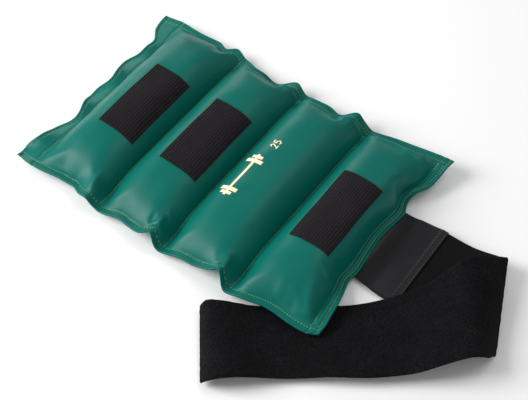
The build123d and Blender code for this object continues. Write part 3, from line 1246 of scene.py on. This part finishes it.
@dataclass
class PrintedMark:
    """The printed mark of pocket 3: a barbell and the size number, laid on the vinyl.

    A bar part is its distance from the middle and its length; a plate is its distance, its length and its
    width. A digit is the corners of one stroke, as reading direction and height.
    """

    form: CuffForm
    ink: float = 0.15
    centre: tuple[float, float] = (24.0, -22.0)
    bar_wide: float = 3.0
    bar_parts: tuple[tuple[float, float], ...] = (
        (0.0, 41.0), (26.25, 1.5), (-26.25, 1.5), (32.0, 2.0), (-32.0, 2.0),
    )
    plates: tuple[tuple[float, float, float], ...] = ((23.0, 5.0, 20.0), (29.0, 4.0, 13.0))
    number_centre: tuple[float, float] = (30.0, 33.0)
    number_height: float = 9.4
    stroke: float = 1.3
    proud: float = 0.04
    two: tuple[tuple[float, float], ...] = (
        (-6.1, 6.8), (-3.8, 9.0), (-1.6, 6.8), (-3.4, 3.4), (-5.9, 0.5), (-1.4, 0.5),
    )
    five: tuple[tuple[float, float], ...] = (
        (5.3, 8.9), (1.5, 8.9), (1.2, 5.2), (3.7, 5.9), (5.5, 3.2), (3.5, 0.5), (0.9, 1.4),
    )

    def patch(self, name: str, x: Array, y: Array) -> bpy.types.Object:
        """A grid of ink on the outer cover.

        Args:
            name: The piece's name.
            x: Pattern x of the grid.
            y: Pattern y of the grid.

        Returns:
            The object.
        """
        cloth, normal = self.form.outer(x, y), self.form.outward(x, y)
        return slab(name, cloth + normal * (self.proud + self.ink), cloth - normal * 0.1)

    def box(self, name: str, x: float, y: float, wide: float, long: float) -> bpy.types.Object:
        """A rectangle of ink.

        Args:
            name: The piece's name.
            x: Middle across the pocket.
            y: Middle along the pocket.
            wide: Size across.
            long: Size along.

        Returns:
            The object.
        """
        xs = np.linspace(x - wide / 2, x + wide / 2, max(3, round(wide) + 1))
        ys = np.linspace(y - long / 2, y + long / 2, max(3, round(long) + 1))
        return self.patch(name, *np.meshgrid(xs, ys, indexing="ij"))

    def digit(self, name: str, points: tuple[tuple[float, float], ...]) -> bpy.types.Object:
        """A digit drawn with one stroke of even width; its strokes join with mitres.

        Args:
            name: The piece's name.
            points: The stroke's corners, as reading direction and height.

        Returns:
            The object.
        """
        corners = np.array(points)
        step = np.diff(corners, axis=0)
        step /= np.linalg.norm(step, axis=1, keepdims=True)
        side = np.stack([-step[:, 1], step[:, 0]], -1)
        joint = np.vstack([side[:1], side[:-1] + side[1:], side[-1:]])
        joint /= (joint**2).sum(1, keepdims=True) / 2 if len(joint) > 2 else 1
        joint[[0, -1]] = side[[0, -1]]
        knots = np.arange(len(corners))
        fine = np.linspace(0, len(corners) - 1, 8 * (len(corners) - 1) + 1)
        line = np.stack([np.interp(fine, knots, corners[:, i]) for i in (0, 1)], -1)
        aside = np.stack([np.interp(fine, knots, joint[:, i]) for i in (0, 1)], -1)
        spread = np.array([-0.5, 0.0, 0.5]) * self.stroke
        flat = line[:, None, :] + aside[:, None, :] * spread[None, :, None]
        x = self.number_centre[0] - (flat[..., 1] - self.number_height / 2)
        y = self.number_centre[1] + flat[..., 0]
        return self.patch(name, x.T, y.T)

    def build(self, wardrobe: Wardrobe) -> list[bpy.types.Object]:
        """Make every patch of the mark.

        Args:
            wardrobe: Where the finishes come from.

        Returns:
            The pieces.
        """
        x, y = self.centre
        pieces = []
        for reach, long in self.bar_parts:
            pieces.append(self.box(f"barbell_bar_{len(pieces)}", x, y + reach, self.bar_wide, long))
        for end in (-1, 1):
            for reach, long, wide in self.plates:
                pieces.append(self.box(f"barbell_plate_{len(pieces)}", x, y + end * reach, wide, long))
        pieces += [self.digit("size_digit_1", self.two), self.digit("size_digit_2", self.five)]
        for piece in pieces:
            wardrobe.dress(piece, Finish.CREAM_INK, Finish.CREAM_INK)
            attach(piece, "pocket_3")
        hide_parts("print_barbell")
        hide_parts("print_number")
        return pieces


# ---- Strap ---------------------------------------------------------------------------------------

# The returning leg's rulings on its upper side, each from its far to its near edge.
BACK_RULINGS = (
    ((291, 45, 37), (351, -44, 14)),
    ((278, 29, 41.5), (350, -50, 20)),
    ((268, 14, 34), (346, -57, 27.5)),
    ((256, -2, 17), (338, -68, 33)),
    ((246, -16, 10), (326, -82, 31)),
    ((235, -32, 7.4), (312, -96, 23.5)),
    ((221, -50, 5.6), (297, -109, 16)),
    ((194, -76, 3.2), (265, -136, 13.5)),
    ((161, -99, 3.0), (234, -157, 12.5)),
    ((128, -125, 3.0), (204, -179, 9)),
    ((106, -143, 12.5), (176, -202, 15)),
    ((92, -154, 18.5), (158, -219, 21)),
    ((82, -161, 18), (144, -231, 19)),
    ((77, -165, 8), (132, -236, 6)),
)


@dataclass
class Strap:
    """The vinyl tab sewn under the strap hem, and the wide loop strap folded over on itself.

    A ruling is a straight line across the strap from its far to its near edge. The crease of the fold runs from
    fold_far to fold_near, and its arc starts and ends set back from there. A tab stitch is a share of the tab's
    width.
    """

    form: CuffForm
    tape: float = 2.2
    vinyl: float = 1.4
    near_y: float = -40.0
    far_y: float = 63.0
    tab_hem_x: float = 181.0
    tab_stitches: int = 22
    tab_half_stitch: float = 0.018
    fold_radius: float = 3.2
    fold_far: tuple[float, float, float] = (303.5, 65.5, 19.0)
    fold_near: tuple[float, float, float] = (350.5, -37.5, 5.8)
    fold_setback: tuple[float, float, float] = (-3.2, -1.5, 0.0)
    leg_far_z: float = 10.0
    leg_near_z: float = 2.5
    across: int = 44

    def __post_init__(self) -> None:
        """Read the tab's and the strap's place from the frame."""
        low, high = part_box("strap_tab")
        self.tab_start, self.tab_end = low[0] / MM, high[0] / MM
        self.strap_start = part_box("strap_out")[0][0] / MM
        self.lift_x = next(joint["pos_m"][0] for joint in frame["joints"] if joint["name"] == "tab_lift")

    def tab_surface(self, x: Array, v: Array) -> Array:
        """Upper side of the vinyl tab.

        Args:
            x: Distance along the strap, the same as the frame's x.
            v: From 0 at the far edge to 1 at the near edge.

        Returns:
            Points: flat under the hem, then falling to lie on the strap's start.
        """
        form = self.form
        hem = form.seam_z - 2 * form.cloth - 0.2
        start, end, over = self.tab_start, self.tab_end, self.strap_start
        knots = np.array([form.strap_seam_x, start, start + 16, over - 1, over + 2, end])
        far = np.array([hem, 6.8, 8.6, 10.9, 11.9, 11.8])
        near = np.array([hem, 6.0, 4.6, 3.3, 4.4, 4.3])
        z = np.interp(x, knots, far) * (1 - v) + np.interp(x, knots, near) * v
        z = z + 0.35 * ripple(x, 100 * v, 40, 8) * smooth(x, 196, 208) * smooth(-x, -over, -215)
        sag = 4.0 * np.sin(np.pi * np.clip((x - 186) / 60, 0, 1)) * v**6
        y = self.far_y + (self.near_y - self.far_y) * v - sag
        under = form.seam_z - form.cloth - 0.7 + form.side_lift(np.maximum(x + 6, 186), y) - smooth(x, 176, 184)
        z = z + (np.minimum(z, under) - z) * smooth(-x, -208, -190)
        return np.stack([x + 0 * v, y, np.maximum(z, 1.6)], -1)

    def tab(self, wardrobe: Wardrobe) -> list[bpy.types.Object]:
        """The vinyl tab with its turned end and sewing.

        Args:
            wardrobe: Where the finishes come from.

        Returns:
            The pieces.
        """
        usual = np.linspace(self.tab_hem_x, self.tab_end, 60)
        step_over = self.strap_start + np.linspace(-2, 3, 11)
        turned_end = self.tab_end - np.array([0.1, 0.3, 0.6, 1.0])
        xs = np.unique(np.concatenate([usual, step_over, turned_end]))
        x, v = np.meshgrid(xs, np.linspace(1, 0, 70), indexing="ij")
        width = self.far_y - self.near_y
        dropped = rounding(np.minimum(self.tab_end - x, np.minimum(v, 1 - v) * width), 0.9, 0.7)
        top = self.tab_surface(x, v)
        top[..., 2] -= dropped
        bottom = top.copy()
        bottom[..., 2] -= self.vinyl - 1.4 * dropped
        tab = slab("tab_vinyl", top, bottom)
        wardrobe.dress(tab, Finish.BLACK_VINYL, Finish.BLACK_VINYL)
        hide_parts("strap_tab", "tab_bend", "strap_anchor")
        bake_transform(tab)
        return [tab, *self.tab_rows(wardrobe)]

    def tab_rows(self, wardrobe: Wardrobe) -> list[bpy.types.Object]:
        """The two rows of stitches across the tab, by its own end and by the strap's.

        Args:
            wardrobe: Where the finishes come from.

        Returns:
            One object for each row.
        """
        rows = []
        count, half = self.tab_stitches, self.tab_half_stitch
        mid = np.linspace(0.03, 0.97, count)
        ups = np.tile([0.0, 0.0, 1.0], (count, 1))
        for label, place in (("outer", self.tab_end - 1.6), ("inner", self.strap_start + 1.6)):
            across = np.full(count, place)
            starts = self.tab_surface(across, mid - half) + 0.3 * ups
            ends = self.tab_surface(across, mid + half) + 0.3 * ups
            row = stitches(f"tab_stitches_{label}", starts, ends, ups, 0.9, 0.7)
            wardrobe.dress(row, Finish.BLACK_THREAD)
            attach(row, "strap_tab")
            rows.append(row)
        return rows

    def out_rulings(self) -> Array:
        """Rulings of the leg that runs out from the tab, as far and near points of its middle surface."""
        half = self.tape / 2
        far_y, near_y, near_z = self.far_y, self.near_y, self.leg_near_z - half
        drop = np.array(self.fold_setback) - [0.0, 0.0, self.fold_radius - half]
        far, near = self.fold_far + drop, self.fold_near + drop
        return np.array([
            [[self.strap_start, far_y, self.leg_far_z - half], [self.strap_start, near_y, near_z]],
            [[248.0, far_y, 9.9 - half], [258.0, near_y - 0.5, near_z]],
            [[272.0, far_y, 11.6 - half], [300.0, near_y + 0.5, near_z]],
            [far + [-6, 0.5, -1.0], near + [-14, -0.8, -1.2]],
            [far, near],
        ])

    def turn_rulings(self) -> Array:
        """Rulings of the turn at the fold: two thirds of a half circle, carried along the crease."""
        turns = np.linspace(0, 0.66 * np.pi, 9)[1:]
        far, near = np.array(self.fold_far), np.array(self.fold_near)
        outwards = np.cross([0.0, 0.0, 1.0], near - far)
        outwards /= np.linalg.norm(outwards)
        radius = self.fold_radius - self.tape / 2
        rise = -np.cos(turns)[:, None] * np.array([0.0, 0.0, radius])
        reach = np.sin(turns)[:, None] * outwards * radius
        settled = np.array(self.fold_setback) * (1 - np.sin(turns))[:, None]
        return np.stack([far + rise + reach + settled, near + rise + reach + settled], 1)

    def tape_mesh(self) -> bpy.types.Object:
        """The whole loop strap as one sheet: leg out, turn at the fold, a loose bulge, then low to its end.

        Its rulings are splined along the strap, and a spread of points across each, closer by the edges, gives
        the middle surface. Both sides lie half the tape's thickness off it, less at the rounded edges.

        Returns:
            The object. Slot 0 is the knitted back, slot 1 the brushed side.
        """
        out, turn, back = self.out_rulings(), self.turn_rulings(), np.array(BACK_RULINGS, float)
        back[..., 2] -= self.tape / 2
        back = np.concatenate([turn[-1:], back])
        fine = []
        for rulings, count in ((out, 45), (back, 170)):
            samples = np.linspace(0, len(rulings) - 1, count)
            fine.append(spline_through(rulings.reshape(-1, 6), samples).reshape(-1, 2, 3))
        rulings = np.concatenate([fine[0], turn, fine[1][1:]])
        v = np.linspace(0, 1, self.across)
        v = v - 0.018 * np.sin(2 * np.pi * v)
        middle = rulings[:, None, 0] * (1 - v)[None, :, None] + rulings[:, None, 1] * v[None, :, None]
        normal = np.cross(np.gradient(middle, axis=0), np.gradient(middle, axis=1))
        normal /= np.linalg.norm(normal, axis=-1, keepdims=True)
        width = np.linalg.norm(rulings[:, 1] - rulings[:, 0], axis=-1)[:, None]
        rim = np.minimum(v, 1 - v)[None, :] * width
        thin = self.tape / 2 * np.sqrt(np.clip(1 - np.clip(1 - rim / 1.1, 0, 1) ** 2, 0.06, 1))
        u = np.arange(len(rulings))[:, None] * 1.6
        uneven = 0.14 * ripple(u, v[None, :] * 100, 9, 5)
        upper = middle + normal * (thin + uneven)[..., None]
        lower = middle - normal * (thin - 0.3 * uneven)[..., None]
        return slab("loop_strap", lower, upper)

    def build(self, wardrobe: Wardrobe) -> list[bpy.types.Object]:
        """Make the tab and the strap.

        Args:
            wardrobe: Where the finishes come from.

        Returns:
            The pieces.
        """
        pieces = self.tab(wardrobe)
        strap = self.tape_mesh()
        wardrobe.dress(strap, Finish.TAPE_BACK, Finish.LOOP_TAPE)
        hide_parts("strap_out", "strap_fold", "strap_back")
        upwards = np.array([-0.02, -0.13, 1.0])
        upwards /= upwards @ upwards
        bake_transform(strap)
        return [*pieces, strap]


# ---- Studio --------------------------------------------------------------------------------------


@dataclass(frozen=True)
class Lamp:
    """A square soft light: its name, its place and side in metres, its power in watts."""

    name: str
    place: tuple[float, float, float]
    side: float
    watts: float


LAMPS = (
    Lamp("key", (-1.4, -1.0, 1.15), 1.2, 48.0),
    Lamp("top", (0.6, 0.9, 1.9), 1.2, 8.0),
    Lamp("back", (-1.5, 1.2, 0.7), 1.0, 8.0),
    Lamp("fill", (1.6, -1.0, 1.0), 1.2, 2.5),
)


@dataclass
class Studio:
    """A pale sweep of paper, four soft lights and the camera."""

    azimuth: float = 35.52
    elevation: float = 53.18
    roll: float = 0.72
    place: tuple[float, float, float] = (0.5507, -0.7183, 1.1587)
    lens: float = 89.7
    aim: tuple[float, float, float] = (0.05, -0.03, 0.0)
    paper_mm: float = 6000.0
    tooth_mm: float = 2.5
    ambient: float = 0.35

    def camera(self) -> None:
        """Set the camera at its viewing angle: it looks along minus its back vector, with its roll."""
        data = bpy.data.cameras.new("camera")
        data.lens = self.lens
        data.sensor_width = 36.0
        camera = bpy.data.objects.new("camera", data)
        bpy.context.scene.collection.objects.link(camera)
        a, e, r = np.radians([self.azimuth, self.elevation, self.roll])
        back = Vector((np.sin(a) * np.cos(e), -np.cos(a) * np.cos(e), np.sin(e)))
        level = Vector((np.cos(a), np.sin(a), 0.0))
        rise = back.cross(level)
        right = level * np.cos(r) + rise * np.sin(r)
        up = -level * np.sin(r) + rise * np.cos(r)
        turn = Matrix((right, up, back)).transposed()
        camera.matrix_world = Matrix.Translation(self.place) @ turn.to_4x4()
        bpy.context.scene.camera = camera

    def light(self, lamp: Lamp) -> None:
        """Hang a lamp and point it at the cuff.

        Args:
            lamp: The lamp.
        """
        data = bpy.data.lights.new(lamp.name, "AREA")
        data.size = lamp.side
        data.energy = lamp.watts
        light = bpy.data.objects.new(lamp.name, data)
        light.location = lamp.place
        light.rotation_mode = "QUATERNION"
        light.rotation_quaternion = (Vector(lamp.place) - Vector(self.aim)).to_track_quat("Z", "Y")
        bpy.context.scene.collection.objects.link(light)

    def floor(self) -> None:
        """A pale floor under everything."""
        corners = np.array([[-1, -1, 0], [1, -1, 0], [1, 1, 0], [-1, 1, 0]]) * self.paper_mm
        floor = mesh_piece("paper_floor", corners, np.array([[0, 1, 2, 3]]))
        material, tree, shader = new_material("white_paper_matt", {"Roughness": 0.9, "Specular IOR Level": 0.1})
        place = add_node(tree, "ShaderNodeTexCoord").outputs["Object"]
        tooth = add_node(tree, "ShaderNodeTexNoise", {"Vector": place, "Scale": 1 / (self.tooth_mm * MM)})
        tone = add_node(
            tree,
            "ShaderNodeMix",
            {"Factor": tooth.outputs["Fac"], 6: srgb("#FDFDFD"), 7: srgb("#F9F9F9")},
            data_type="RGBA",
        )
        tree.links.new(tone.outputs[2], shader.inputs["Base Color"])
        floor.data.materials.append(material)

    def build(self) -> None:
        """Make the studio."""
        scene = bpy.context.scene
        scene.view_settings.view_transform = "Standard"
        world = bpy.data.worlds.new("studio")
        scene.world = world
        world.use_nodes = True
        sky = world.node_tree.nodes["Background"]
        sky.inputs["Color"].default_value = srgb("#FFFFFF")
        sky.inputs["Strength"].default_value = self.ambient
        for lamp in LAMPS:
            self.light(lamp)
        self.floor()
        self.camera()


def main() -> None:
    """Build the cuff from left to right, then the strap and the studio."""
    logging.basicConfig(level=logging.INFO, format="%(name)s: %(message)s")
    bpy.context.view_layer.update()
    wardrobe = Wardrobe()
    form = CuffForm()
    pieces: list[bpy.types.Object] = []
    for number in (1, 2, 3, 4):
        pieces += Pocket(number, form).build(wardrobe)
    for number in (1, 2, 3):
        pieces += SeamBand(number, form).build(wardrobe)
    for number, tucked in ((1, 4.0), (2, 2.0), (4, 0.5)):
        pieces.append(HookPad(number, form, tucked=tucked).build(wardrobe))
    pieces += PrintedMark(form).build(wardrobe)
    pieces += Strap(form).build(wardrobe)
    for piece in pieces:
        LOG.info("%s: %d faces", piece.name, len(piece.data.polygons))
    Studio().build()


if __name__ == "__main__":
    main()
